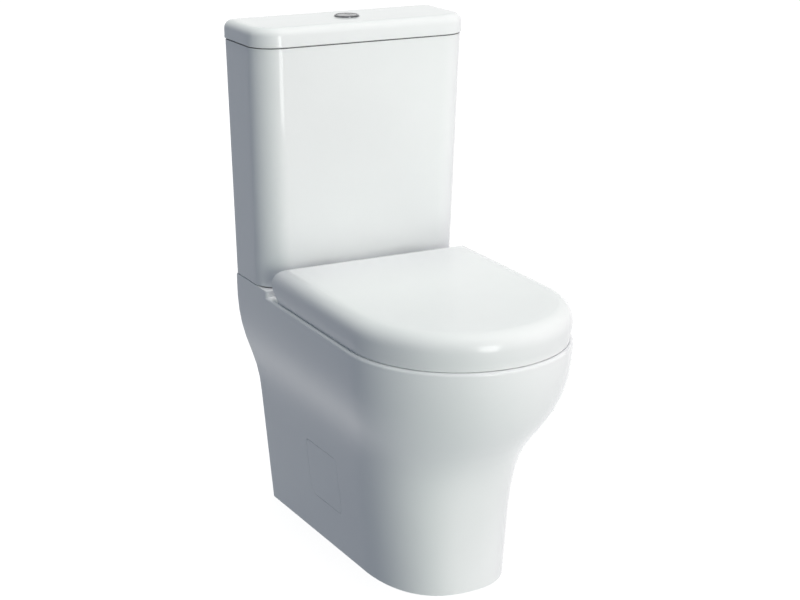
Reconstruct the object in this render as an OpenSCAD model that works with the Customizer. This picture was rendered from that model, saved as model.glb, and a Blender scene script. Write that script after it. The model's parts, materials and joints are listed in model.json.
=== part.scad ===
// Close coupled toilet: a skirted pan with its cistern, seat, lid, flush gear and fixings.
// The origin is on the floor, under the centre of the whole part. The wall is the plane y = wall_y,
// the front faces -Y, and the fill valve is on the left (-X).

/* [Pan] */
// Depth from the wall to the front of the rim
pan_depth = 600; // [570:5:680]
// Height of the rim above the floor
rim_z = 400; // [390:5:460]
// Width across the rim
rim_w = 352; // [346:2:400]
// Length of the straight sides of the rim, from the wall
rim_straight = 422.5; // [400:0.5:440]
// Rounding of the outer edge of the rim
rim_edge_r = 5; // [2:1:8]
// Width of the foot at the wall
foot_w = 235; // [225:5:260]
// How much each side of the foot comes in, from the wall to the end of its straight side
foot_taper = 8.5; // [0:0.5:12]
// Length of the straight sides of the foot, from the wall
foot_straight = 316; // [290:2:340]
// Depth of the foot, from the wall
foot_depth = 475; // [450:5:520]
// Squareness of the round end of the foot, where 2 is an ellipse
foot_squareness = 2.44; // [2:0.02:3]
// Thickness of the ceramic
ceramic_t = 12; // [10:1:13]
// Rise of the shelf under the cistern above the rim
shelf_h = 10; // [6:1:16]
// Depth of that shelf, from the wall
shelf_d = 121; // [118:1:126]
// Height at which the front of the skirt starts to come forward
front_curve_z = 100; // [80:5:120]
// Height at which the flared sides turn into the sweep under the rim
side_curve_z = 205; // [195:5:215]
// Share of the widening that the flared sides have made at that height
side_flare = 0.33; // [0.25:0.01:0.4]

/* [Bowl and trap] */
// Width of the opening in the rim
opening_w = 256; // [240:2:262]
// Distance from the wall to the back of the opening in the rim
opening_back = 225; // [220:1:240]
// Width of the rim in front of the opening
rim_front_w = 50; // [46:1:56]
// Radius of the sump
sump_r = 36; // [34.5:0.5:40]
// Height of the centre line of the trap where it leaves the sump
sump_z = 117; // [110:1:125]
// Distance from the wall to the middle of the sump
sump_from_wall = 360; // [350:1:365]
// Radius of the passage through the trap
trap_r = 34; // [28:1:34]
// Thickness of the wall of the passage
trap_wall = 8; // [6:1:9]
// Radius of the bends of the passage, at its centre line
bend_r = 44; // [43:1:46]
// Height of the weir that holds the water in the sump
weir_z = 202; // [195:1:206]
// Height of the centre of the outlet
outlet_z = 180; // [170:1:185]
// Outer radius of the outlet spigot
spigot_r = 51; // [48:0.5:55]
// Length of the outlet spigot
spigot_l = 45; // [30:1:50]

/* [Access covers and floor fixing] */
// Distance from the wall to the front edge of the opening in the skirt
window_front = 273; // [260:1:285]
// Length of the opening in the skirt
window_l = 108; // [90:1:112]
// Height of the opening's lower edge
window_z = 72; // [60:1:80]
// Height of the opening
window_h = 97; // [80:1:100]
// Corner radius of the opening
window_r = 10; // [8:1:16]
// Gap round the cover
cover_gap = 0.6; // [0.3:0.1:1]
// Distance between the two floor fixing holes
floor_hole_span = 170; // [160:2:180]
// Radius of the floor fixing holes
floor_hole_r = 5; // [3:0.5:6]

/* [Cistern] */
// Height of the cistern shell
cistern_h = 387.5; // [360:2.5:420]
// Width at the bottom
cistern_w = 350; // [340:2:352]
// Depth at the bottom
cistern_d = 122; // [118:1:124]
// How much each side leans out, from the bottom to the top
cistern_flare = 10; // [0:1:12]
// How much the front leans out, from the bottom to the top
cistern_lean = 12; // [0:1:12]
// Radius of the upright front corners
cistern_corner_r = 45; // [30:1:60]
// Thickness of the cistern wall
cistern_t = 10; // [8:1:11]
// Radius of the bottom edge
cistern_edge_r = 2; // [1:0.5:6]
// Height of the cistern lid
lid_h = 30; // [26:1:40]
// Overhang of the cistern lid past the cistern
lid_overhang = 1.5; // [0.5:0.5:3]
// Rounding of the top edge of the cistern lid
lid_edge_r = 13; // [8:1:14]
// Gap between the cistern and its lid
lid_gap = 0.3; // [0.2:0.1:1]
// Distance between the two wall screw holes
wall_hole_span = 200; // [160:10:240]
// Radius of the wall screw holes
wall_hole_r = 4; // [3:0.5:5]

/* [Seat and lid] */
// Distance from the wall to the hinge line
hinge_from_wall = 172; // [171:0.5:174]
// Distance between the two hinge posts
hinge_span = 155; // [145:1:165]
// Radius of the barrel-shaped rear edge of the lid
barrel_r = 27; // [26:0.5:28]
// Height of the closed lid above the rim
seat_stack = 56; // [55:0.5:57]
// How far the lid stands proud of the rim all round
seat_proud = 1.5; // [0:0.5:3]
// Thickness of the lid shell
shell_t = 4.5; // [3:0.5:5]
// Height of the seat ring
ring_h = 34; // [30:1:35]
// Height of the buffers under the seat ring
buffer_h = 5.8; // [5:0.2:6]
// Width of the hole in the seat ring
ring_hole_w = 216; // [200:2:230]
// Distance from the wall to the back of the hole in the seat ring
ring_hole_back = 255; // [245:1:275]
// Radius of the hinge pins
pin_r = 5; // [4:0.5:6]

/* [Flush gear] */
// Distance from the wall to the flush button and the flush valve
valve_from_wall = 62; // [60:0.5:64]
// Outer radius of the button's bezel
bezel_r = 20; // [19.5:0.5:24]
// Radius of the two-part button
button_r = 16.6; // [15:0.1:16.8]
// Travel of the buttons
button_travel = 6; // [4:0.5:7]
// Radius of the flush valve's spigot
valve_r = 30; // [28:0.5:30]
// Distance from the centre to the coupling bolts
bolt_x = 85; // [83:1:92]
// Distance from the centre to the fill valve
fill_x = 130; // [126:1:132]
// Radius of the fill valve's threaded tail
tail_r = 10.4; // [8:0.1:10.4]

/* [Hidden] */

$fn = 48;

// Colours
WHITE = [0.93, 0.94, 0.94];
PLASTIC = [0.95, 0.95, 0.95];
CHROME = [0.62, 0.64, 0.66];
STEEL = [0.7, 0.7, 0.7];
RUBBER = [0.16, 0.16, 0.17];
MOULDED = [0.82, 0.86, 0.9];
BLUE = [0.25, 0.45, 0.7];

// Small fits
touch = 0.01;          // overlap that fuses two forms of one casting
seat_gap = 0.2;        // between a piece and the face that it rests on
pin_fit = 0.03;        // radial play of a pin that is held fast
running_fit = 0.06;    // radial play of a pin that turns
thread_fit = 0.1;      // radial play of a nut on its thread
slide_fit = 0.4;       // radial play of buttons, rods and the float

// Levels and planes
wall_y = (pan_depth + seat_proud) / 2;
front_y = wall_y - pan_depth;        // front of the rim
opening_l = pan_depth - opening_back - rim_front_w;
cut_past = 20;                       // how far castings run past the wall before they are cut flat
shelf_z = rim_z + shelf_h;
cistern_z = shelf_z + cistern_h;     // top of the cistern shell
lid_z = cistern_z + lid_gap;         // underside of the cistern lid
top_z = lid_z + lid_h;               // top of the cistern lid
deck_z = rim_z - ceramic_t;          // underside of the rim

// Ring of points shared by every skin of the pan, the seat and the lid
n_side = 6;
n_front = 30;
n_rear = 10;
rear_swing = 50;                     // angle past each side at which the rear edge of a ring starts
ring_angles = concat(
    [for (i = [0:n_side - 1]) rear_swing * (1 - i / n_side)],
    [for (i = [0:n_front]) -180 * i / n_front],
    [for (i = [1:n_side]) -180 - rear_swing * i / n_side],
    [for (i = [1:n_rear - 1]) -180 - rear_swing - (180 - 2 * rear_swing) * i / n_rear]);

function lerp(a, b, t) = a + (b - a) * t;
function signed_pow(v, e) = sign(v) * pow(abs(v), e);
function bezier(p, t) = pow(1 - t, 3) * p[0] + 3 * pow(1 - t, 2) * t * p[1]
    + 3 * (1 - t) * t * t * p[2] + pow(t, 3) * p[3];
// The t at which a rising curve p reaches v
function bezier_at(p, v, lo = 0, hi = 1, steps = 16) =
    let (mid = (lo + hi) / 2)
    steps == 0 ? mid
    : bezier(p, mid) < v ? bezier_at(p, v, mid, hi, steps - 1)
    : bezier_at(p, v, lo, mid, steps - 1);

// D-shaped outline at height z: hr and hf are the half-widths at the wall and at the end ys of the
// straight sides, yf is the front and e the squareness of its round end.
function d_ring(z, hr, hf, ys, yf, e, yb) = concat(
    [for (i = [0:n_side - 1]) [lerp(hr, hf, i / n_side), lerp(yb, ys, i / n_side), z]],
    [for (i = [0:n_front]) let (a = 180 * i / n_front)
        [hf * signed_pow(cos(a), 2 / e), ys + (yf - ys) * pow(max(sin(a), 0), 2 / e), z]],
    [for (i = [1:n_side]) [-lerp(hf, hr, i / n_side), lerp(ys, yb, i / n_side), z]],
    [for (i = [1:n_rear - 1]) [lerp(-hr, hr, i / n_rear), yb, z]]);

// Egg-shaped outline at height z with half-width a, front length bf and rear length br about y = cy
function egg_ring(z, a, bf, br, cy) =
    [for (w = ring_angles) [a * cos(w), cy + (sin(w) > 0 ? br : bf) * sin(w), z]];

// Rectangle with round corners at height z, from yf to yb, with radius rf in front and rr behind
n_corner = 10;
n_back_corner = 3;
function box_ring(z, hw, yf, yb, rf, rr) = concat(
    [for (i = [0:n_back_corner]) let (w = 90 - 90 * i / n_back_corner)
        [hw - rr + rr * cos(w), yb - rr + rr * sin(w), z]],
    [for (i = [0:n_corner]) let (w = -90 * i / n_corner)
        [hw - rf + rf * cos(w), yf + rf + rf * sin(w), z]],
    [for (i = [0:n_corner]) let (w = -90 - 90 * i / n_corner)
        [-hw + rf + rf * cos(w), yf + rf + rf * sin(w), z]],
    [for (i = [0:n_back_corner]) let (w = 180 - 90 * i / n_back_corner)
        [-hw + rr + rr * cos(w), yb - rr + rr * sin(w), z]]);

function middle(ring) = [for (k = [0:2]) let (v = [for (p = ring) p[k]]) (min(v) + max(v)) / 2];

// Closed surface through a list of rings. Each ring runs clockwise seen from above, and the list
// goes outwards over the top and down the outside. A looped list closes on itself, without ends;
// otherwise each end is a fan about the ring's middle.
module skin(rings, looped = false) {
    n = len(rings[0]);
    m = len(rings);
    bands = [for (i = [0:looped ? m - 1 : m - 2]) for (j = [0:n - 1])
        let (a = i * n + j, b = i * n + (j + 1) % n)
        let (c = (i + 1) % m * n + (j + 1) % n, d = (i + 1) % m * n + j)
        each [[a, c, b], [a, d, c]]];
    ends = looped ? [] : [for (j = [0:n - 1])
        each [[m * n, j, (j + 1) % n], [m * n + 1, (m - 1) * n + (j + 1) % n, (m - 1) * n + j]]];
    middles = looped ? [] : [middle(rings[0]), middle(rings[m - 1])];
    polyhedron(concat([for (r = rings) each r], middles), concat(bands, ends));
}

module both_sides() {
    children();
    mirror([1, 0, 0]) children();
}

module rounded_rect(size, r) {
    translate([r, 0]) square([size[0] - 2 * r, size[1]]);
    translate([0, r]) square([size[0], size[1] - 2 * r]);
    for (x = [r, size[0] - r], y = [r, size[1] - r]) translate([x, y]) circle(r);
}

module ring(r_in, r_out, h) {
    difference() {
        cylinder(r = r_out, h = h);
        translate([0, 0, -1]) cylinder(r = r_in, h = h + 2);
    }
}

module six_sided(across, h) {
    cylinder(d = across / cos(30), h = h, $fn = 6);
}

// ---- Pan ----

rim_taper = 1;                       // how much wider the rim is at its straight ends than at the wall
rim_rear = rim_w / 2 - rim_taper;
side_low_pull = 75;                  // lengths of the handles of the side and front curves
side_high_pull = 105;
front_low_pull = 170;
front_high_pull = 165;
side_top_z = rim_z - rim_edge_r;
flare_rate = side_flare / side_curve_z;

// Share of the way from the outline of the foot to that of the rim, at the sides and at the front
function side_spread(z) = z <= side_curve_z ? flare_rate * z
    : z >= side_top_z ? 1
    : bezier([side_flare, side_flare + flare_rate * side_low_pull, 1, 1],
        bezier_at([side_curve_z, side_curve_z + side_low_pull, side_top_z - side_high_pull, side_top_z], z));
function front_spread(z) = z <= front_curve_z ? 0 : z >= rim_z ? 1
    : bezier([0, 0, 1, 1],
        bezier_at([front_curve_z, front_curve_z + front_low_pull, rim_z - front_high_pull, rim_z], z));

// Outline of the skirt at height z, moved in by inset
function pan_ring(z, inset = 0) =
    let (s = side_spread(z), f = front_spread(z))
    let (hf = lerp(foot_w / 2 - foot_taper, rim_w / 2, s) - inset)
    let (hw = lerp(foot_w / 2, rim_rear, s) - inset)
    let (ys = wall_y - lerp(foot_straight, rim_straight, f))
    let (yf = wall_y - lerp(foot_depth, pan_depth, f) + inset)
    d_ring(z, hw + (hw - hf) * cut_past / (wall_y - ys), hf, ys, yf,
        lerp(foot_squareness, 2, f), wall_y + cut_past - inset / 2);

// Outline of the shelf at height z, moved in by inset. Its sides lie just inside those of the rim.
shelf_edge_r = 2;
shelf_corner_r = 6;
shelf_in = 0.02;
function rim_half(y) = lerp(rim_rear, rim_w / 2, (wall_y - y) / rim_straight) - shelf_in;
function shelf_ring(z, inset = 0) =
    let (r = shelf_corner_r - inset, front_edge = wall_y - shelf_d + inset, back_edge = wall_y + cut_past - inset)
    let (front = rim_half(front_edge) - inset - r, back = rim_half(back_edge) - inset)
    concat([[back, back_edge, z]],
        [for (w = [0:-22.5:-90]) [front + r * cos(w), front_edge + r + r * sin(w), z]],
        [for (w = [-90:-22.5:-180]) [-front + r * cos(w), front_edge + r + r * sin(w), z]],
        [[-back, back_edge, z]]);

opening_front = front_y + rim_front_w;                   // y of the front of the opening
opening_mid = opening_front + opening_l * 0.49;          // y at which the opening is widest
sump_y = wall_y - sump_from_wall;
sump_len = sump_r + 2;
sump_wall = 18;                                          // the casting is thicker round the sump
lip_r = 5;                                               // rounding of the opening's edge

// How open the bowl is at height z, from 0 at the sump to 1 at the rim
function bowl_spread(z) = pow(max(0, 1 - pow((rim_z - z) / (rim_z - sump_z), 2)), 1.6);
function bowl_ring(z, out = 0) =
    let (s = bowl_spread(z))
    egg_ring(z, lerp(sump_r, opening_w / 2, s) + out,
        lerp(sump_len, opening_mid - opening_front, s) + out,
        lerp(sump_len, opening_front + opening_l - opening_mid, s) + out,
        lerp(sump_y, opening_mid, s));
// Rounded floor of the sump, at angle w below its rim
function sump_ring(w, out = 0) =
    egg_ring(sump_z - (trap_r + out) * sin(w), (sump_r + out) * cos(w), (sump_len + out) * cos(w),
        (sump_len + out) * cos(w), sump_y);
function bowl_wall(z) = lerp(sump_wall, ceramic_t, (z - sump_z) / (deck_z - sump_z));

bowl_steps = 8;
skirt_steps = 16;
pan_rings = concat(
    [for (w = [80, 52, 26]) sump_ring(w)],
    [for (i = [0:bowl_steps]) bowl_ring(lerp(sump_z, rim_z - lip_r, i / bowl_steps))],
    [for (w = [45, 90]) bowl_ring(rim_z - lip_r * (1 - sin(w)), lip_r * (1 - cos(w)))],
    [for (w = [0, 30, 60]) pan_ring(rim_z - rim_edge_r * (1 - cos(w)), rim_edge_r * (1 - sin(w)))],
    [for (i = [0:skirt_steps]) pan_ring((rim_z - rim_edge_r) * (1 - i / skirt_steps))],
    [for (i = [0:skirt_steps / 2]) pan_ring(deck_z * i / (skirt_steps / 2), ceramic_t)],
    [for (i = [0:bowl_steps - 2]) let (z = lerp(deck_z, sump_z, i / (bowl_steps - 2)))
        bowl_ring(z, bowl_wall(z))],
    [for (w = [35, 70]) sump_ring(w, sump_wall)]);

// The passage is a chain of straight lengths and bends. It starts along +Y and turns up or down.
rise_angle = 75;
fall_angle = 45;
function bend_drop(w) = bend_r * (1 - cos(w));
crown_z = weir_z + trap_r;
rise_l = (crown_z - sump_z - 2 * bend_drop(rise_angle)) / sin(rise_angle);
fall_l = (crown_z - outlet_z - 2 * bend_drop(fall_angle)) / sin(fall_angle);
// [length, 0] is a straight length and [angle, 1 or -1] a bend up or down
trap_route = [[rise_angle, 1], [rise_l, 0], [rise_angle + fall_angle, -1], [fall_l, 0], [fall_angle, 1]];
trap_start = sump_y + sump_len + sump_wall;
trap_end = trap_start + bend_r * 2 * (sin(rise_angle) + sin(fall_angle))
    + rise_l * cos(rise_angle) + fall_l * cos(fall_angle);

module along_y(r, l) {
    rotate([-90, 0, 0]) cylinder(r = r, h = l);
}

// The straight lengths are slightly wider than the bends and run into them by lap
lap = 1;
widening = 0.3;
module passage(r, route, i = 0) {
    if (i < len(route)) {
        leg = route[i];
        if (leg[1] == 0) {
            translate([0, -lap, 0]) along_y(r + widening, leg[0] + 2 * lap);
            translate([0, leg[0], 0]) passage(r, route, i + 1);
        } else {
            translate([0, 0, leg[1] * bend_r]) rotate([0, leg[1] * 90, 0])
                rotate_extrude(angle = leg[0]) translate([bend_r, 0]) circle(r);
            translate([0, bend_r * sin(leg[0]), leg[1] * bend_drop(leg[0])])
                rotate([leg[1] * leg[0], 0, 0]) passage(r, route, i + 1);
        }
    }
}

valve_y = wall_y - valve_from_wall;
socket_depth = 24;                                  // recess in the shelf for the doughnut washer
socket_r = 52;
inlet_bore_r = valve_r + 2;
inlet_wall = 12;
duct_z = rim_z - 50;
duct_r = 22;
duct_wall = 10;
duct_y = opening_front + opening_l + 1;             // where the duct meets the back of the bowl
hinge_y = wall_y - hinge_from_wall;
hinge_hole_r = 7.5;
post_x = hinge_span / 2;
bolt_hole_r = 6;
fill_hole_r = 26;
floor_hole_y = wall_y - window_front + window_l / 2;
foot_lug = [34, 50, 14];
cover_depth = 8;                                    // thickness of the access covers
cover_ledge = 6;                                    // width of the ledge behind them

// Upright block through the wall of the skirt, in the shape of the access opening
module window_block(grow) {
    inside = 80;
    translate([inside, wall_y - window_front - grow, window_z - grow]) rotate([90, 0, 90])
        linear_extrude(rim_w / 2 - inside)
            rounded_rect([window_l + 2 * grow, window_h + 2 * grow], window_r + grow);
}

// Layer of the skirt between two depths, level with the access openings
module skirt_layer(from, to) {
    low = window_z - 2 * window_r;
    high = window_z + window_h + 2 * window_r;
    steps = 5;
    difference() {
        skin([for (i = [0:steps]) pan_ring(lerp(high, low, i / steps), from)]);
        translate([0, cut_past, 0]) skin([for (i = [-1:steps + 1]) pan_ring(lerp(high, low, i / steps), to)]);
    }
}

module pan() {
    color(WHITE) difference() {
        union() {
            skin(pan_rings);
            // shelf under the cistern
            skin(concat(
                [for (w = [90, 45, 0])
                    shelf_ring(shelf_z - shelf_edge_r * (1 - sin(w)), shelf_edge_r * (1 - cos(w)))],
                [shelf_ring(rim_z - rim_edge_r), shelf_ring(deck_z, shelf_edge_r)]));
            // trap passage and outlet spigot
            translate([0, trap_start - 2, sump_z]) along_y(trap_r + trap_wall + widening, 2 + lap);
            translate([0, trap_start, sump_z]) passage(trap_r + trap_wall, trap_route);
            translate([0, trap_end - trap_wall, outlet_z]) along_y(spigot_r, spigot_l + trap_wall);
            // flush socket and the duct from it to the bowl
            translate([0, valve_y, duct_z - duct_r - duct_wall])
                cylinder(r = inlet_bore_r + inlet_wall, h = deck_z - duct_z + duct_r + duct_wall + 2);
            translate([0, valve_y, shelf_z - socket_depth - inlet_wall])
                cylinder(r = socket_r + inlet_wall, h = inlet_wall + socket_depth - 2);
            translate([0, duct_y, duct_z]) along_y(duct_r + duct_wall, valve_y - duct_y);
            // lugs that are screwed to the floor, reached through the access openings
            both_sides() translate([floor_hole_span / 2 - foot_lug[0] / 2, floor_hole_y - foot_lug[1] / 2, 0])
                cube(foot_lug);
        }
        // flat back
        translate([-rim_w, wall_y, -1]) cube([2 * rim_w, 2 * cut_past, shelf_z + 2]);
        // waterway
        translate([0, sump_y, sump_z]) along_y(trap_r + widening, trap_start - sump_y + lap);
        translate([0, trap_start, sump_z]) passage(trap_r, trap_route);
        translate([0, trap_end - lap, outlet_z]) along_y(spigot_r - trap_wall, spigot_l + 2 * lap);
        translate([0, duct_y - 2 * lip_r, duct_z]) along_y(duct_r, valve_y - duct_y + 2 * lip_r);
        translate([0, valve_y, duct_z - duct_r]) cylinder(r = inlet_bore_r, h = shelf_z - duct_z + duct_r);
        translate([0, valve_y, shelf_z - socket_depth]) cylinder(r = socket_r, h = socket_depth + 1);
        // holes for the bolts of the cistern, the hinges and the floor, and for the supply
        both_sides() translate([bolt_x, valve_y, deck_z - 1]) cylinder(r = bolt_hole_r, h = shelf_z);
        both_sides() translate([post_x, hinge_y, deck_z - 1]) cylinder(r = hinge_hole_r, h = rim_z);
        both_sides() translate([floor_hole_span / 2, floor_hole_y, -1])
            cylinder(r = floor_hole_r, h = foot_lug[2] + 2);
        translate([-fill_x, valve_y, deck_z - 1]) cylinder(r = fill_hole_r, h = shelf_z);
        // access openings, with a ledge for the covers
        both_sides() window_block(-cover_ledge);
        intersection() {
            skirt_layer(-2, cover_depth + seat_gap);
            both_sides() window_block(0);
        }
    }
}

module access_covers() {
    color(WHITE) intersection() {
        skirt_layer(0, cover_depth);
        both_sides() window_block(-cover_gap);
    }
}

// ---- Cistern ----

// Outline of the cistern at height z, moved in by inset
function cistern_ring(z, inset = 0, floor_inset = 0) =
    let (s = (z - shelf_z) / cistern_h)
    box_ring(z, cistern_w / 2 + cistern_flare * s - inset, wall_y - cistern_d - cistern_lean * s + inset,
        wall_y - floor_inset, cistern_corner_r - inset, 5);
cistern_floor_t = 12;
floor_z = shelf_z + cistern_floor_t;                 // inside bottom of the cistern
rim_round = 1.5;                                     // rounding of the cistern's top edge
wall_hole_z = cistern_z - 55;

module cistern() {
    color(WHITE) difference() {
        skin(concat(
            [cistern_ring(floor_z, cistern_t + 6, cistern_t + 6),
                cistern_ring(floor_z + 2, cistern_t + 2, cistern_t + 2),
                cistern_ring(floor_z + 8, cistern_t, cistern_t)],
            [cistern_ring(cistern_z, cistern_t, cistern_t), cistern_ring(cistern_z, rim_round),
                cistern_ring(cistern_z - rim_round)],
            [for (w = [0, 30, 60, 90])
                cistern_ring(shelf_z + cistern_edge_r * (1 - sin(w)), cistern_edge_r * (1 - cos(w)))]));
        translate([0, valve_y, shelf_z - 1]) cylinder(r = inlet_bore_r, h = cistern_floor_t + 2);
        for (x = [-bolt_x, bolt_x]) translate([x, valve_y, shelf_z - 1])
            cylinder(r = bolt_hole_r, h = cistern_floor_t + 2);
        translate([-fill_x, valve_y, shelf_z - 1]) cylinder(r = tail_r + 1, h = cistern_floor_t + 2);
        for (x = [-1, 1]) translate([x * wall_hole_span / 2, wall_y - cistern_t - 1, wall_hole_z])
            along_y(wall_hole_r, cistern_t + 2);
    }
}

lid_t = 10;                                          // thickness of the lid's casting
lid_half = cistern_w / 2 + cistern_flare + lid_overhang;
lid_front = wall_y - cistern_d - cistern_lean - lid_overhang;
back_share = 0.4;                                    // the rear edge is rounded less than the others
function lid_ring(z, inset) = box_ring(z, lid_half - inset, lid_front + inset, wall_y - back_share * inset,
    cistern_corner_r - inset, 5);
hole_r = bezel_r - 1.5;                              // hole for the button in the cistern lid

module cistern_lid() {
    lug = [50, 6, 32];
    front_lug_y = wall_y - cistern_d - cistern_lean + cistern_t + 3;
    color(WHITE) difference() {
        union() {
            skin(concat(
                [for (w = [90, 68, 45, 22, 0])
                    lid_ring(top_z - lid_edge_r * (1 - sin(w)), lid_edge_r * (1 - cos(w)))],
                [lid_ring(lid_z + rim_round, 0), lid_ring(lid_z, rim_round), lid_ring(lid_z, lid_t + 2),
                    lid_ring(top_z - lid_t - 4, lid_t + 2), lid_ring(top_z - lid_t, lid_t + 6)]));
            // lugs that keep the lid from sliding off
            both_sides() for (y = [front_lug_y, wall_y - cistern_t - 3 - lug[1]])
                translate([wall_hole_span / 2 - lug[0] / 2, y, top_z - lid_t - lug[2]])
                    cube(lug + [0, 0, 2]);
        }
        translate([0, valve_y, top_z - lid_t - 1]) cylinder(r = hole_r, h = lid_t + 2);
    }
}

// ---- Seat and lid ----

hinge_z = rim_z + seat_stack - barrel_r - 0.5;       // the barrel's top is just under the crown of the lid
skirt_z = rim_z + 2.5;                               // lower edge of the lid
ring_z = rim_z + seat_gap + buffer_h;                // underside of the seat ring
ring_top = ring_z + ring_h;
seat_half = rim_w / 2 + seat_proud;
seat_front = front_y - seat_proud;
seat_straight = wall_y - rim_straight;
lid_side_r = 25;                                     // rounding of the top edge at the sides and front
tuck = 4;                                            // how much the lid's edge comes in at the bottom

// How far the barrel-shaped rear reaches past the hinge line at height z, for a given radius
function barrel_reach(z, r) = sqrt(max(0, r * r - pow(z - hinge_z, 2)));
// Outline of the lid at height z: the sides moved in by inset, the rear on a barrel of radius r
function lid_outline(z, inset, r) = d_ring(z, seat_half - inset, seat_half - inset, seat_straight,
    seat_front + inset, 2, hinge_y + barrel_reach(z, r));

function tuck_at(z) = tuck * pow((hinge_z - z) / (hinge_z - skirt_z), 2);

lid_top_z = hinge_z + barrel_r;
inner_r = barrel_r - shell_t;

module lid_shell() {
    skin(concat(
        [lid_outline(lid_top_z + 0.5, 60, 0), lid_outline(lid_top_z + 0.3, 38, 0)],
        [for (w = [85, 70, 55, 40, 25, 10])
            lid_outline(lid_top_z - lid_side_r * (1 - sin(w)), lid_side_r * (1 - cos(w)), barrel_r)],
        [for (z = [hinge_z, hinge_z - 9, hinge_z - 17, skirt_z])
            lid_outline(z, tuck_at(z), barrel_r)],
        [for (z = [skirt_z, hinge_z - 15, hinge_z])
            lid_outline(z, shell_t + tuck_at(z), inner_r)],
        [for (w = [25, 55, 80])
            lid_outline(hinge_z + inner_r * sin(w), lerp(lid_side_r, shell_t, cos(w)), inner_r)]));
}

post_w = 20;                                         // width of a hinge post along the hinge line
post_gap = 1;                                        // side play between a post and the knuckles
knuckle_w = 18.5;
knuckle_r = 11;
lid_knuckle_x = post_x + post_w / 2 + post_gap;
ring_knuckle_x = post_x - post_w / 2 - post_gap - knuckle_w;

module along_x(r, l) {
    rotate([0, 90, 0]) cylinder(r = r, h = l);
}

module seat_lid() {
    notch_gap = 2.5;
    color(PLASTIC) difference() {
        union() {
            difference() {
                lid_shell();
                // notches that let the barrel turn past the hinge posts
                both_sides() translate([post_x - post_w / 2 - notch_gap, hinge_y - barrel_r, skirt_z - 1])
                    cube([post_w + 2 * notch_gap, 3 * barrel_r, hinge_z + barrel_r * 0.55 - skirt_z]);
            }
            // knuckles on webs under the top
            both_sides() {
                translate([lid_knuckle_x, hinge_y, hinge_z]) along_x(knuckle_r, knuckle_w);
                translate([lid_knuckle_x, hinge_y - knuckle_r, hinge_z])
                    cube([knuckle_w, 2 * knuckle_r, inner_r - 2]);
            }
        }
        both_sides() translate([lid_knuckle_x - 1, hinge_y, hinge_z])
            along_x(pin_r + running_fit, knuckle_w + 2);
    }
}

ring_gap = 1.5;                                      // between the seat ring and the lid's wall
ring_inset = shell_t + tuck + ring_gap;
ring_rear = hinge_y - barrel_r - 1;                  // rear edge of the seat ring, clear of the barrel
hole_front = seat_front + 56;
ring_hole_l = wall_y - ring_hole_back - hole_front;
ring_hole_mid = hole_front + ring_hole_l * 0.52;
ring_lip = 6;                                        // wall of the ring's hollow underside

// Outline of the ring at height z, at share u of the way from its hole to its outer edge,
// moved by the width w
function seat_outline(z, u, w = 0) =
    let (hole = egg_ring(z, ring_hole_w / 2, ring_hole_mid - hole_front,
        hole_front + ring_hole_l - ring_hole_mid, ring_hole_mid))
    let (edge = d_ring(z, seat_half - ring_inset, seat_half - ring_inset, seat_straight,
        seat_front + ring_inset, 2, ring_rear))
    [for (i = [0:len(hole) - 1])
        let (d = edge[i] - hole[i])
        hole[i] + d * u + d / norm(d) * w];

module seat_ring_body() {
    skin([
        seat_outline(ring_z, 0), seat_outline(ring_top - 10, 0), seat_outline(ring_top - 4, 0, 1.5),
        seat_outline(ring_top - 1, 0, 6), seat_outline(ring_top, 0.4), seat_outline(ring_top - 0.5, 0.75),
        seat_outline(ring_top - 3, 1, -7), seat_outline(ring_top - 8, 1, -2), seat_outline(ring_top - 14, 1),
        seat_outline(ring_z, 1), seat_outline(ring_z, 1, -ring_lip),
        seat_outline(ring_top - 9, 1, -ring_lip - 2), seat_outline(ring_top - 9, 0, ring_lip + 2),
        seat_outline(ring_z, 0, ring_lip)
    ], looped = true);
}

module seat_ring() {
    arm_z = hinge_z + 1.5;
    arm_root = 8;
    color(PLASTIC) difference() {
        union() {
            seat_ring_body();
            both_sides() {
                translate([ring_knuckle_x, hinge_y, hinge_z]) along_x(knuckle_r - 1, knuckle_w);
                translate([ring_knuckle_x, ring_rear - arm_root, arm_z])
                    cube([knuckle_w, hinge_y - ring_rear + arm_root, hinge_z + knuckle_r - 1 - arm_z]);
            }
            // pads inside the hollow underside that carry the buffers
            for (p = buffer_places) translate([p[0], p[1], ring_z]) cylinder(r = buffer_r, h = ring_h - 5);
        }
        both_sides() translate([ring_knuckle_x - 1, hinge_y, hinge_z])
            along_x(pin_r + running_fit, knuckle_w + 2);
        for (p = buffer_places) translate([p[0], p[1], ring_z - 1])
            cylinder(r = stud_r + pin_fit, h = stud_l + 1);
    }
}

buffer_r = 9;
stud_r = 2.5;
stud_l = 8;
side_x = rim_w / 2 - 25;
side_y = wall_y - 280;
front_x = 105;
front_buffer_in = 75;
front_buffer_y = front_y + front_buffer_in;
buffer_places = [[side_x, side_y], [-side_x, side_y], [front_x, front_buffer_y], [-front_x, front_buffer_y]];
lid_buffer_in = 15;                                  // how much nearer to the middle the lid's buffers are
lid_side_x = side_x - lid_buffer_in;
lid_front_x = front_x - lid_buffer_in / 2;
lid_front_y = front_buffer_y + lid_buffer_in / 2;
lid_buffer_places = [[lid_side_x, side_y], [-lid_side_x, side_y],
    [lid_front_x, lid_front_y], [-lid_front_x, lid_front_y]];
lid_buffer_r = 7;

module seat_buffers() {
    color(RUBBER) for (p = buffer_places) translate([p[0], p[1], rim_z + seat_gap]) {
        cylinder(r = buffer_r - 1, h = buffer_h);
        cylinder(r = stud_r, h = buffer_h + stud_l - 1);
    }
}

module lid_buffers() {
    ceiling_z = hinge_z + inner_r * sin(80);
    color(RUBBER) for (p = lid_buffer_places) translate([p[0], p[1], ring_top + seat_gap])
        cylinder(r = lid_buffer_r, h = ceiling_z - ring_top - seat_gap);
}

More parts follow.
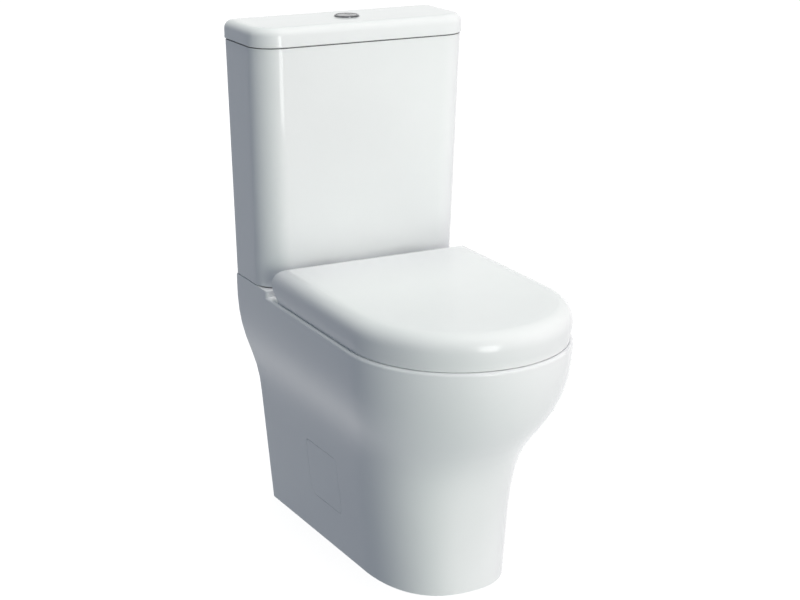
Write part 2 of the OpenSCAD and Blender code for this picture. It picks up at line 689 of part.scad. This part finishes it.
post_base_h = 4;
post_depth = 18;
bolt_r = 4;

module hinge_posts() {
    color(CHROME) both_sides() translate([post_x, hinge_y, 0]) difference() {
        union() {
            translate([0, 0, rim_z]) cylinder(r = post_w / 2 + 0.5, h = post_base_h);
            translate([-post_w / 2, -post_depth / 2, rim_z + 1])
                cube([post_w, post_depth, hinge_z - rim_z - 1]);
            translate([-post_w / 2, 0, hinge_z]) along_x(post_depth / 2, post_w);
        }
        translate([-post_w, 0, hinge_z]) along_x(pin_r + pin_fit, 2 * post_w);
        translate([0, 0, rim_z - 1]) cylinder(r = bolt_r + pin_fit, h = 13);
    }
}

module hinge_pins() {
    reach = post_w / 2 + post_gap + knuckle_w;
    color(STEEL) both_sides() translate([post_x - reach, hinge_y, hinge_z]) along_x(pin_r, 2 * reach);
}

hinge_bolt_l = 40;
module hinge_bolts() {
    color(STEEL) both_sides() translate([post_x, hinge_y, rim_z + 11 - hinge_bolt_l - ceramic_t])
        cylinder(r = bolt_r, h = hinge_bolt_l + ceramic_t);
}

cone_h = 10;
module hinge_washers() {
    color(RUBBER) both_sides() translate([post_x, hinge_y, deck_z - cone_h]) difference() {
        union() {
            cylinder(r = hinge_hole_r + 5, h = cone_h);
            translate([0, 0, cone_h - touch]) cylinder(r1 = hinge_hole_r - 0.3, r2 = bolt_r + 1, h = 6);
        }
        translate([0, 0, -1]) cylinder(r = bolt_r + pin_fit, h = cone_h + 10);
    }
}

wing_nut_h = 12;
wing_nut_r = bolt_r + 4;
wing_span = wing_nut_r + 8;                          // from the middle of a wing nut to the tip of a wing

// Wing nut with its top at the origin
module wing_nut() {
    wing_t = 3;
    difference() {
        union() {
            translate([0, 0, -wing_nut_h]) cylinder(r = wing_nut_r, h = wing_nut_h);
            translate([-wing_span, -wing_t / 2, -wing_nut_h]) cube([2 * wing_span, wing_t, wing_nut_h - 2]);
        }
        translate([0, 0, -wing_nut_h - 1]) cylinder(r = bolt_r + thread_fit, h = wing_nut_h + 2);
    }
}

module hinge_wing_nuts() {
    color(PLASTIC) both_sides() translate([post_x, hinge_y, deck_z - cone_h]) wing_nut();
}

// ---- Flush button ----

sleeve_r = hole_r - 0.3;
sleeve_in = button_r + slide_fit;
sleeve_l = 34;
sleeve_floor = 2;
bezel_h = 2.6;
button_h = 18;                                       // from the crown of a button to its underside
button_top = top_z + bezel_h - 0.3;
button_low = button_top - button_h;
split_x = 3;                                         // the full flush half is the larger one
split_gap = 0.8;
full_rod_x = -7;
half_rod_x = 10.2;
rod_r = 2;
spring_r = 3.6;
wire_r = 0.5;
spring_floor = top_z - sleeve_l + sleeve_floor;

module button_bezel() {
    color(CHROME) translate([0, valve_y, top_z]) rotate_extrude() {
        translate([sleeve_in, 0]) square([bezel_r - sleeve_in - 1.5, bezel_h]);
        translate([bezel_r - 1.5, 0]) square([1.5, bezel_h - 1.5]);
        translate([bezel_r - 1.5, bezel_h - 1.5]) intersection() {
            circle(1.5);
            square(1.5);
        }
    }
}

module button_sleeve() {
    color(MOULDED) translate([0, valve_y, top_z - sleeve_l]) difference() {
        cylinder(r = sleeve_r, h = sleeve_l);
        translate([0, 0, sleeve_floor]) cylinder(r = sleeve_in, h = sleeve_l);
        for (x = [full_rod_x, half_rod_x]) translate([x, 0, -1]) cylinder(r = rod_r + slide_fit, h = 4);
    }
}

module button_nut() {
    nut_h = 8;
    color(MOULDED) translate([0, valve_y, top_z - lid_t - nut_h]) difference() {
        six_sided(2 * sleeve_r + 12, nut_h);
        translate([0, 0, -1]) cylinder(r = sleeve_r + thread_fit, h = nut_h + 2);
    }
}

// One half of the button: a disc with a soft top edge, cut along x
module button_half(from, to) {
    translate([0, valve_y, button_low]) intersection() {
        rotate_extrude() {
            square([button_r - 1, button_h]);
            square([button_r, button_h - 1]);
            translate([button_r - 1, button_h - 1]) intersection() {
                circle(1);
                square(1);
            }
        }
        translate([from, -button_r - 1, -1]) cube([to - from, 2 * button_r + 2, button_h + 2]);
    }
}

module full_flush_button() {
    color(CHROME) button_half(-button_r - 1, split_x - split_gap / 2);
}

module half_flush_button() {
    color(CHROME) button_half(split_x + split_gap / 2, button_r + 1);
}

// Coil spring on +Z, closed by flat ends
module coil(r, wire, h, turns) {
    per_turn = 10;
    sides = 5;
    n = turns * per_turn;
    rise = (h - 2 * wire) / n;
    skin([for (i = [n:-1:0]) [for (j = [0:sides - 1])
        let (w = -360 * i / per_turn, v = 360 * j / sides)
        [(r + wire * cos(v)) * cos(w), (r + wire * cos(v)) * sin(w), wire + i * rise + wire * sin(v)]]]);
}

module button_spring(x) {
    color(STEEL) translate([x, valve_y, spring_floor + 0.1])
        coil(spring_r - wire_r, wire_r, button_low - spring_floor - 0.2, 5);
}

module full_button_spring() {
    button_spring(full_rod_x);
}

module half_button_spring() {
    button_spring(half_rod_x);
}

module push_rod(x) {
    color(MOULDED) translate([x, valve_y, head_z + head_h - rod_depth])
        cylinder(r = rod_r, h = button_low - head_z - head_h + rod_depth);
}

module full_push_rod() {
    push_rod(full_rod_x);
}

module half_push_rod() {
    push_rod(half_rod_x);
}

// ---- Flush valve ----

valve_seal_h = 3;
flange_h = 6;
valve_flange_z = floor_z + valve_seal_h + flange_h;
head_h = 26;
cage_h = 284;
head_z = valve_flange_z + cage_h;
rod_depth = 8;                                       // how far the rods reach into the valve head
flange_r = valve_r + 14;
spigot_low = shelf_z - socket_depth - 2;
valve_bore_r = valve_r - 5;
valve_nut_h = 11;
nut_across = 2 * valve_r + 13;
cage_r = flange_r - 3;
cage_t = 3;
tube_r = 17;
tube_t = 2;
lift = 9;                                            // rise of the tube for a full press

module flush_valve_base() {
    color(MOULDED) translate([0, valve_y, 0]) difference() {
        union() {
            translate([0, 0, valve_flange_z - flange_h]) cylinder(r = flange_r, h = flange_h);
            translate([0, 0, spigot_low]) cylinder(r = valve_r, h = valve_flange_z - spigot_low - 1);
        }
        translate([0, 0, spigot_low - 1]) cylinder(r = valve_bore_r, h = valve_flange_z - spigot_low + 2);
    }
}

module flush_valve_seal() {
    color(RUBBER) translate([0, valve_y, floor_z]) ring(valve_r + thread_fit, flange_r - 2, valve_seal_h);
}

module flush_valve_nut() {
    color(MOULDED) translate([0, valve_y, shelf_z - valve_nut_h]) difference() {
        six_sided(nut_across, valve_nut_h);
        translate([0, 0, -1]) cylinder(r = valve_r + thread_fit, h = valve_nut_h + 2);
    }
}

module doughnut_washer() {
    hole = nut_across / 2 / cos(30) + 0.5;
    color(RUBBER) translate([0, valve_y, shelf_z - socket_depth]) rotate_extrude() difference() {
        square([socket_r - 0.4, socket_depth]);
        translate([-1, -1]) square([hole + 1, socket_depth + 2]);
        translate([socket_r - 3.4, socket_depth]) rotate(-45) square([12, 6]);
    }
}

module flush_valve_cage() {
    guide_z = cage_h * 0.62;
    window_gap = 14;
    color(MOULDED) translate([0, valve_y, valve_flange_z]) {
        difference() {
            ring(cage_r - cage_t, cage_r, cage_h);
            for (w = [45, 135], z = [0, guide_z]) rotate([0, 0, w])
                translate([-cage_r / 2, -cage_r - 1, z + window_gap])
                    cube([cage_r, 2 * cage_r + 2, (z > 0 ? cage_h - z : guide_z) - 2 * window_gap]);
        }
        // guide for the lift tube
        difference() {
            translate([0, 0, guide_z]) cylinder(r = cage_r - cage_t / 2, h = 3);
            translate([0, 0, guide_z - 1]) cylinder(r = tube_r + slide_fit, h = 5);
            for (i = [0:3]) rotate([0, 0, 90 * i]) translate([(tube_r + cage_r) / 2 - 1, 0, guide_z - 1])
                cylinder(r = 7, h = 5);
        }
    }
}

module flush_valve_head() {
    color(BLUE) translate([0, valve_y, head_z]) difference() {
        cylinder(r = cage_r + 2, h = head_h);
        for (x = [full_rod_x, half_rod_x]) translate([x, 0, head_h - rod_depth - button_travel - 2])
            cylinder(r = rod_r + slide_fit, h = rod_depth + button_travel + 3);
    }
}

module lift_tube() {
    flange = 4;
    color(MOULDED) translate([0, valve_y, valve_flange_z]) {
        ring(tube_r - tube_t, tube_r, cage_h - lift - 15);
        translate([0, 0, valve_seal_h]) ring(tube_r - touch, valve_bore_r + 6, flange);
    }
}

module flush_seal() {
    color(RUBBER) translate([0, valve_y, valve_flange_z])
        ring(tube_r + pin_fit, valve_bore_r + 7, valve_seal_h);
}

// ---- Cistern fixing ----

bolt_seal_h = 6;
bolt_washer_h = 2;
washer_r = bolt_r + 8;
bolt_head_r = bolt_r + 5;
coupling_bolt_l = 70;

module at_bolts(z) {
    for (x = [-bolt_x, bolt_x]) translate([x, valve_y, z]) children();
}

module coupling_bolts() {
    color(STEEL) at_bolts(floor_z + bolt_seal_h + bolt_washer_h) {
        cylinder(r = bolt_head_r, h = 5);
        translate([0, 0, -coupling_bolt_l]) cylinder(r = bolt_r, h = coupling_bolt_l + 1);
    }
}

module bolt_seals() {
    color(RUBBER) at_bolts(floor_z) ring(bolt_r + pin_fit, washer_r + 1, bolt_seal_h);
}

module bolt_washers() {
    color(STEEL) at_bolts(floor_z + bolt_seal_h) ring(bolt_r + thread_fit, washer_r, bolt_washer_h);
}

module coupling_washers() {
    color(STEEL) at_bolts(deck_z - bolt_washer_h) ring(bolt_r + thread_fit, washer_r, bolt_washer_h);
}

module coupling_wing_nuts() {
    color(PLASTIC) at_bolts(deck_z - bolt_washer_h) wing_nut();
}

// ---- Fill valve ----

tail_seal_h = 2;
stem_z = floor_z + tail_seal_h;
stem_r = 12;
stem_flange_h = 4;
stem_h = 216;
fill_head_z = stem_z + stem_h;
fill_head_h = 36;
tail_l = 40;                                         // length of the tail under the cistern
tail_nut_h = 9;
groove_l = 3;
float_r = 25;
float_h = 60;
float_travel = 12;
float_z = fill_head_z - float_h - float_travel - 10;
lever_l = 30;
lever_t = 3;
lever_w = 8;
lever_z = fill_head_z + fill_head_h + 8;             // height of the lever's pin
lever_x = -8;                                        // place of the pin, from the valve's axis
lever_pin_r = 1.5;
link_x = lever_x + lever_l;
link_r = 2;
collar_gap = 10;

module at_fill() {
    translate([-fill_x, valve_y, 0]) children();
}

module fill_valve_stem() {
    color(MOULDED) at_fill() difference() {
        union() {
            translate([0, 0, shelf_z - tail_l])
                cylinder(r = tail_r, h = tail_l + cistern_floor_t + tail_seal_h + 1);
            translate([0, 0, stem_z]) cylinder(r = tail_r + 7, h = stem_flange_h);
            translate([0, 0, stem_z]) cylinder(r = stem_r, h = stem_h);
        }
        translate([0, 0, shelf_z - tail_l - 1]) cylinder(r = 4, h = 90);
        // groove at the end of the backnut's thread
        translate([0, 0, shelf_z - tail_nut_h - groove_l - 1]) ring(tail_r - 0.6, tail_r + 1, groove_l);
    }
}

module fill_valve_seal() {
    color(RUBBER) at_fill() translate([0, 0, floor_z]) ring(tail_r + thread_fit, tail_r + 6, tail_seal_h);
}

module fill_valve_nut() {
    color(MOULDED) at_fill() translate([0, 0, shelf_z - tail_nut_h]) difference() {
        six_sided(2 * tail_r + 10, tail_nut_h);
        translate([0, 0, -1]) cylinder(r = tail_r + thread_fit, h = tail_nut_h + 2);
    }
}

module fill_valve_head() {
    ear_t = 2;
    color(BLUE) at_fill() difference() {
        union() {
            translate([0, 0, fill_head_z]) cylinder(r = stem_r + 3, h = fill_head_h);
            for (y = [-lever_w / 2 - 0.5 - ear_t, lever_w / 2 + 0.5])
                translate([lever_x - 4, y, fill_head_z + fill_head_h - 1]) cube([8, ear_t, 13]);
        }
        translate([lever_x, -20, lever_z]) along_y(lever_pin_r + pin_fit, 40);
    }
}

module fill_valve_float() {
    link_low = float_z + float_h;
    collar_low = lever_z - collar_gap / 2 - 2;
    color(MOULDED) at_fill() {
        translate([0, 0, float_z]) ring(stem_r + slide_fit, float_r, float_h);
        translate([link_x, 0, link_low - 1]) cylinder(r = link_r, h = lever_z + 9 - link_low);
        for (z = [collar_low, collar_low + 2 + collar_gap])
            translate([link_x, 0, z]) cylinder(r = link_r + 1.5, h = 2);
    }
}

module fill_valve_lever() {
    slot = 2 * link_r + 1.6;
    color(BLUE) at_fill() translate([lever_x, 0, lever_z]) difference() {
        union() {
            rotate([90, 0, 0]) translate([0, 0, -lever_w / 2]) cylinder(r = 3.2, h = lever_w);
            translate([0, -lever_w / 2, -lever_t / 2]) cube([lever_l + 7, lever_w, lever_t]);
        }
        translate([0, -lever_w, 0]) along_y(lever_pin_r + running_fit, 2 * lever_w);
        translate([lever_l - slot / 2 - 3, -slot / 2, -lever_t]) cube([20, slot, 2 * lever_t]);
    }
}

module lever_pin() {
    color(STEEL) at_fill() translate([lever_x, -lever_w / 2 - 2.5, lever_z])
        along_y(lever_pin_r, lever_w + 5);
}

pan();
access_covers();
cistern();
cistern_lid();
seat_ring();
seat_buffers();
seat_lid();
lid_buffers();
hinge_posts();
hinge_pins();
hinge_bolts();
hinge_washers();
hinge_wing_nuts();
button_bezel();
button_sleeve();
button_nut();
full_flush_button();
half_flush_button();
full_button_spring();
half_button_spring();
full_push_rod();
half_push_rod();
flush_valve_base();
flush_valve_seal();
flush_valve_nut();
flush_valve_cage();
flush_valve_head();
lift_tube();
flush_seal();
doughnut_washer();
coupling_bolts();
bolt_seals();
bolt_washers();
coupling_washers();
coupling_wing_nuts();
fill_valve_stem();
fill_valve_seal();
fill_valve_nut();
fill_valve_head();
fill_valve_float();
fill_valve_lever();
lever_pin();
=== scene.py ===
import bpy
import bmesh
import json
import math
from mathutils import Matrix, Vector


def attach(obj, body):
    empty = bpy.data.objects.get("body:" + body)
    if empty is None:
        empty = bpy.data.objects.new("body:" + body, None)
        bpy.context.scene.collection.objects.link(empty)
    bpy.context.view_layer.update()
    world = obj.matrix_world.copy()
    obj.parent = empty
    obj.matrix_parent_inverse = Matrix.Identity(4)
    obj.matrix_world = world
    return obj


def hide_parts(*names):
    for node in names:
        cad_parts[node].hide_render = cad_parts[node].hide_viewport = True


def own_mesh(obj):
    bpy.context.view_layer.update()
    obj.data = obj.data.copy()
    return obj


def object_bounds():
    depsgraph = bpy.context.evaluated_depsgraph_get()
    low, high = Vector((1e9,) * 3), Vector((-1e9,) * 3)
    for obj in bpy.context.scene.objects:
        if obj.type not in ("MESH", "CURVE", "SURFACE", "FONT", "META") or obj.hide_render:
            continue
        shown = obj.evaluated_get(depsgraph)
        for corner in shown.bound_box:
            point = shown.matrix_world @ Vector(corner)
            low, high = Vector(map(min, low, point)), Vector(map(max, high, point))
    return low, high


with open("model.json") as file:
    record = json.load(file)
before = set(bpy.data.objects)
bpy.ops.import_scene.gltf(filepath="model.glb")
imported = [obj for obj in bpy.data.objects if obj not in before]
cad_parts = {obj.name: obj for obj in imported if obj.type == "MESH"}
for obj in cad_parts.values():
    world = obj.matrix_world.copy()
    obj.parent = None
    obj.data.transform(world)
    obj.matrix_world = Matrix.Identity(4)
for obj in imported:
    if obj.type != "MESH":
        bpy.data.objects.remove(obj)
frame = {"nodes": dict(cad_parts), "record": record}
cad_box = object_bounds()
NODES = frame["nodes"]
SLOT = {s["node"]: s["material_slot"] for s in frame["record"]["subparts"]}
BODY = {n: b for b, ns in frame["record"]["behaviour"]["bodies"].items() for n in ns}


# ---- Materials ----

IOR = 1.36
LEAST_ROUGH = 0.01
TINT_BAND = (0.35, 0.65)
BUMP_HEIGHT = 0.001

# Painted shade in a seam: the share of open space where the colour is darkest, the share where it is whole
# again, and what is left of the colour at its darkest.
SEAM_DEEP = 0.5
SEAM_OPEN = 0.86
SEAM_LEAST = 0.1
SEAM_SAMPLES = 16

# Sockets of a Mix node set to colours, where names repeat.
MIX_FACTOR, MIX_A, MIX_B, MIX_RESULT = 0, 6, 7, 2


def noise(nt, where, scale, detail):
    """Noise in the piece's own space."""
    n = nt.nodes.new("ShaderNodeTexNoise")
    n.inputs["Scale"].default_value = scale
    n.inputs["Detail"].default_value = detail
    nt.links.new(where.outputs["Object"], n.inputs["Vector"])
    return n.outputs["Fac"]


def tinted(nt, cloud, colour, tint):
    """The colour, darker by that share where the noise is low."""
    ramp = nt.nodes.new("ShaderNodeValToRGB")
    low, high = ramp.color_ramp.elements
    low.position, high.position = TINT_BAND
    low.color = [c * (1 - tint) for c in colour] + [1]
    high.color = list(colour) + [1]
    nt.links.new(cloud, ramp.inputs["Fac"])
    return ramp.outputs["Color"]


def seam_shaded(nt, colour_out, width):
    """Painted shade: the colour, darker where two pieces leave a gap of less than that width."""
    near = nt.nodes.new("ShaderNodeAmbientOcclusion")
    near.samples = SEAM_SAMPLES
    near.inputs["Distance"].default_value = width
    depth = nt.nodes.new("ShaderNodeMapRange")
    depth.inputs["From Min"].default_value = SEAM_DEEP
    depth.inputs["From Max"].default_value = SEAM_OPEN
    depth.inputs["To Min"].default_value = SEAM_LEAST
    nt.links.new(near.outputs["AO"], depth.inputs["Value"])
    shade = nt.nodes.new("ShaderNodeMix")
    shade.data_type = "RGBA"
    shade.inputs[MIX_A].default_value = (0, 0, 0, 1)
    nt.links.new(depth.outputs["Result"], shade.inputs[MIX_FACTOR])
    nt.links.new(colour_out, shade.inputs[MIX_B])
    return shade.outputs[MIX_RESULT]


def material(name, colour, rough, metallic=0.0, bump=0.0, bump_scale=60, rough_spread=0.0,
             tint=0.0, tint_scale=9, seam_shade_width=0.0):
    """Principled material whose colour, roughness and bump vary with noise in the piece's own space. Given a
    seam shade width, its colour also gets painted shade, darker in narrow gaps between pieces.
    """
    m = bpy.data.materials.new(name)
    m.use_nodes = True
    nt = m.node_tree
    p = nt.nodes["Principled BSDF"]
    p.inputs["Metallic"].default_value = metallic
    p.inputs["IOR"].default_value = IOR
    where = nt.nodes.new("ShaderNodeTexCoord")
    cloud = noise(nt, where, tint_scale, 3)
    colour_out = tinted(nt, cloud, colour, tint)
    # Painted shade: the colour darkens in narrow gaps between pieces.
    if seam_shade_width:
        colour_out = seam_shaded(nt, colour_out, seam_shade_width)
    nt.links.new(colour_out, p.inputs["Base Color"])
    spread = nt.nodes.new("ShaderNodeMapRange")
    spread.inputs["To Min"].default_value = max(rough - rough_spread, LEAST_ROUGH)
    spread.inputs["To Max"].default_value = rough + rough_spread
    nt.links.new(cloud, spread.inputs["Value"])
    nt.links.new(spread.outputs["Result"], p.inputs["Roughness"])
    if bump:
        b = nt.nodes.new("ShaderNodeBump")
        b.inputs["Strength"].default_value = bump
        b.inputs["Distance"].default_value = BUMP_HEIGHT
        nt.links.new(noise(nt, where, bump_scale, 2), b.inputs["Height"])
        nt.links.new(b.outputs["Normal"], p.inputs["Normal"])
    return m


def ceramic(name, seam_shade_width=0.0):
    """White glaze, slightly wavy, with painted shade in narrow gaps when a seam shade width is given."""
    return material(name, (0.92, 0.94, 0.935), 0.09, bump=0.05, bump_scale=22, tint=0.012, seam_shade_width=seam_shade_width)


def moulding(name, colour, tint):
    """Moulded plastic with a fine grain."""
    return material(name, colour, 0.4, bump=0.1, bump_scale=300, tint=tint, tint_scale=25)


MATERIALS = {
    "glazed_ceramic": ceramic("glazed_ceramic"),
    # The same glaze with painted shade darkening it where the cistern and its lid meet.
    "seam_shaded_ceramic": ceramic("seam_shaded_ceramic", seam_shade_width=0.005),
    "seat_plastic": material("seat_plastic", (0.89, 0.91, 0.905), 0.14, bump=0.03, bump_scale=40, tint=0.01),
    "chrome": material("chrome", (0.2, 0.205, 0.215), 0.14, metallic=1.0,
                       rough_spread=0.05, tint=0.5, tint_scale=90),
    "steel": material("steel", (0.56, 0.56, 0.57), 0.32, metallic=1.0,
                      bump=0.1, bump_scale=300, rough_spread=0.08),
    "rubber": material("rubber", (0.03, 0.03, 0.032), 0.7,
                       bump=0.2, bump_scale=500, tint=0.2, tint_scale=40),
    "nylon": material("nylon", (0.88, 0.88, 0.86), 0.45,
                      bump=0.1, bump_scale=400, tint=0.03, tint_scale=30),
    "moulded": moulding("moulded", (0.74, 0.79, 0.84), 0.05),
    "blue_moulded": moulding("blue_moulded", (0.06, 0.17, 0.42), 0.12),
}


# ---- Pieces ----

# Facets closer in angle than SHARP share one smooth surface.
SHARP = math.radians(33)
WELD = 2e-6

# The cistern and its lid take the glaze with painted shade in the seam between them.
PAINTED_SHADE_FINISH = {"cistern": "seam_shaded_ceramic", "cistern_lid": "seam_shaded_ceramic"}

# The outlines of the seat ring and the seat lid are drawn in by DRAWN_IN, growing from none at the first
# distance to all of it at the second: sideways from the middle, and forwards from the middle of the part.
DRAWN_IN = 0.0026
SIDE_RISE = (0.115, 0.164)
FRONT_RISE = (0.02, 0.24)

# The edge of the seat lid is lowered by EDGE_DROP, fading out over EDGE_FADE up to EDGE_TOP above it.
EDGE_DROP = 0.0016
EDGE_TOP = 0.006
EDGE_FADE = 0.004

# Each button spring, with the press of its button. A spring's piece gets a mesh of its own.
PRESSED_SPRINGS = {
    "full_button_spring": "full_button_press",
    "half_button_spring": "half_button_press",
}


def smooth_copy(node):
    """The node's form with its facets welded and shaded smooth, apart from its sharp edges."""
    me = NODES[node].data.copy()
    me.name = node + "_form"
    for name in [a.name for a in me.attributes if a.name == "custom_normal"]:
        me.attributes.remove(me.attributes[name])
    bm = bmesh.new()
    bm.from_mesh(me)
    bmesh.ops.remove_doubles(bm, verts=bm.verts, dist=WELD)
    for f in bm.faces:
        f.smooth = True
    for e in bm.edges:
        e.smooth = len(e.link_faces) == 2 and e.calc_face_angle(0) < SHARP
    bm.to_mesh(me)
    bm.free()
    ob = bpy.data.objects.new(node + "_form", me)
    bpy.context.scene.collection.objects.link(ob)
    w = ob.modifiers.new("normals", "WEIGHTED_NORMAL")
    w.mode = "FACE_AREA_WITH_ANGLE"
    w.keep_sharp = True
    return ob


def step_between(v, low, high):
    """0 below low, 1 above high, and a smooth rise between."""
    t = min(max((v - low) / (high - low), 0), 1)
    return t * t * (3 - 2 * t)


def draw_in(ob):
    """Draws in the outline of the seat ring or seat lid at the sides and the front, clear of the hinge."""
    for v in ob.data.vertices:
        v.co.x -= math.copysign(DRAWN_IN * step_between(abs(v.co.x), *SIDE_RISE), v.co.x)
        v.co.y += DRAWN_IN * step_between(-v.co.y, *FRONT_RISE)


def lower_edge(ob):
    """Lowers the edge of the seat lid, which narrows the seam under it."""
    edge = min(v.co.z for v in ob.data.vertices)
    for v in ob.data.vertices:
        v.co.z -= EDGE_DROP * step_between(edge + EDGE_TOP - v.co.z, 0, EDGE_FADE)


def finish_piece(ob, node):
    """Rides with the CAD body of the node it stands for and takes its finish."""
    ob.data.materials.clear()
    ob.data.materials.append(MATERIALS[PAINTED_SHADE_FINISH.get(node, SLOT[node])])
    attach(ob, BODY[node])
    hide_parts(node)


for node in NODES:
    piece = smooth_copy(node)
    if node in ("seat_ring", "seat_lid"):
        draw_in(piece)
    if node == "seat_lid":
        lower_edge(piece)
    finish_piece(piece, node)
    if node in PRESSED_SPRINGS:
        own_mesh(piece)


# ---- Stage ----

FILL = (0.09, 0.114, 0.16, 1)
FLOOR_HALF = 30.0
FLOOR_DROP = 0.0004
FLOOR_GREY = (0.2, 0.2, 0.2, 1)
FLOOR_GLOW = 0.93
CARD_GLOW = 8.0
SUN_ANGLE = math.radians(34)

# Each soft sun: compass angle from +X towards +Y, height above the floor, both in degrees, and its
# strength in red, green and blue.
SUNS = [
    (288, 76, (1.31, 1.24, 1.25)),
    (72, 76, (0.84, 0.9, 0.75)),
    (330, 8, (0.74, 0.6, 0.64)),
    (270, 8, (0.99, 1.05, 0.93)),
    (270, -18, (0.58, 0.54, 0.5)),
    (300, -45, (0.38, 0.42, 0.39)),
]


def rays_that_show(nt):
    """1 for rays that see the background: camera, glossy and transmission rays."""
    path = nt.nodes.new("ShaderNodeLightPath")
    last = path.outputs["Is Camera Ray"]
    for name in ("Is Glossy Ray", "Is Transmission Ray"):
        add = nt.nodes.new("ShaderNodeMath")
        add.operation = "ADD"
        add.use_clamp = True
        nt.links.new(last, add.inputs[0])
        nt.links.new(path.outputs[name], add.inputs[1])
        last = add.outputs[0]
    return last


def background(nt, colour):
    """A world background of that colour."""
    b = nt.nodes.new("ShaderNodeBackground")
    b.inputs["Color"].default_value = colour
    return b.outputs[0]


def white_world():
    """White where the background shows, and a dim blue fill as light."""
    world = bpy.data.worlds.new("studio")
    bpy.context.scene.world = world
    world.use_nodes = True
    nt = world.node_tree
    nt.nodes.clear()
    out = nt.nodes.new("ShaderNodeOutputWorld")
    mix = nt.nodes.new("ShaderNodeMixShader")
    nt.links.new(rays_that_show(nt), mix.inputs["Fac"])
    nt.links.new(background(nt, FILL), mix.inputs[1])
    nt.links.new(background(nt, (1, 1, 1, 1)), mix.inputs[2])
    nt.links.new(mix.outputs[0], out.inputs["Surface"])


def flat_piece(name, corners):
    """A four-cornered piece of the stage, with the node tree and the output of its empty material."""
    me = bpy.data.meshes.new(name)
    me.from_pydata(corners, [], [(0, 1, 2, 3)])
    ob = bpy.data.objects.new(name, me)
    bpy.context.scene.collection.objects.link(ob)
    m = bpy.data.materials.new(name)
    m.use_nodes = True
    m.node_tree.nodes.clear()
    me.materials.append(m)
    out = m.node_tree.nodes.new("ShaderNodeOutputMaterial")
    return ob, m.node_tree, out.inputs["Surface"]


def glow(nt, strength):
    """White light given off by a piece of the stage."""
    e = nt.nodes.new("ShaderNodeEmission")
    e.inputs["Strength"].default_value = strength
    return e.outputs[0]


def white_floor():
    """White where nothing shades it, with a soft shadow. Light from below passes it, in place of what
    a white floor throws back."""
    r = FLOOR_HALF
    floor, nt, surface = flat_piece("floor", [(-r, -r, 0), (r, -r, 0), (r, r, 0), (-r, r, 0)])
    floor.location.z = cad_box[0].z - FLOOR_DROP
    floor.visible_shadow = False
    floor.visible_diffuse = False
    lit = nt.nodes.new("ShaderNodeBsdfDiffuse")
    lit.inputs["Color"].default_value = FLOOR_GREY
    both = nt.nodes.new("ShaderNodeAddShader")
    nt.links.new(lit.outputs[0], both.inputs[0])
    nt.links.new(glow(nt, FLOOR_GLOW), both.inputs[1])
    nt.links.new(both.outputs[0], surface)


def soft_sun(azimuth, elevation, strength):
    """A sun that lights the matt side of things and doesn't show in their gloss."""
    d = bpy.data.lights.new("sun", "SUN")
    d.energy = max(strength)
    d.color = [s / max(strength) for s in strength]
    d.angle = SUN_ANGLE
    o = bpy.data.objects.new("sun", d)
    o.visible_glossy = False
    a, e = math.radians(azimuth), math.radians(elevation)
    towards = Vector((math.cos(a) * math.cos(e), math.sin(a) * math.cos(e), math.sin(e)))
    o.rotation_mode = "QUATERNION"
    o.rotation_quaternion = towards.to_track_quat("Z", "Y")
    bpy.context.scene.collection.objects.link(o)


def corner_card():
    """A tall soft box in front that only shows in the gloss of the left front corners."""
    left, right, y, low, high = -0.24, 0.4, -2.2, 0.02, 1.2
    corners = [(left, y, low), (right, y, low), (right, y, high), (left, y, high)]
    card, nt, surface = flat_piece("card", corners)
    card.visible_camera = False
    card.visible_diffuse = False
    card.visible_shadow = False
    nt.links.new(glow(nt, CARD_GLOW), surface)


white_world()
white_floor()
for azimuth, elevation, strength in SUNS:
    soft_sun(azimuth, elevation, strength)
corner_card()


# ---- Camera ----

CAMERA_AT = (-1.2478, -2.34785, 1.2458)
CAMERA_DOWN = 0.301
CAMERA_TURN = -0.479

cam_data = bpy.data.cameras.new("camera")
cam_data.sensor_width = 36
cam_data.lens = 81.05
cam_data.clip_end = 100
cam = bpy.data.objects.new("camera", cam_data)
cam.location = CAMERA_AT
cam.rotation_euler = (math.pi / 2 - CAMERA_DOWN, 0, CAMERA_TURN)
bpy.context.scene.collection.objects.link(cam)
bpy.context.scene.camera = cam
bpy.context.scene.view_settings.view_transform = "Standard"
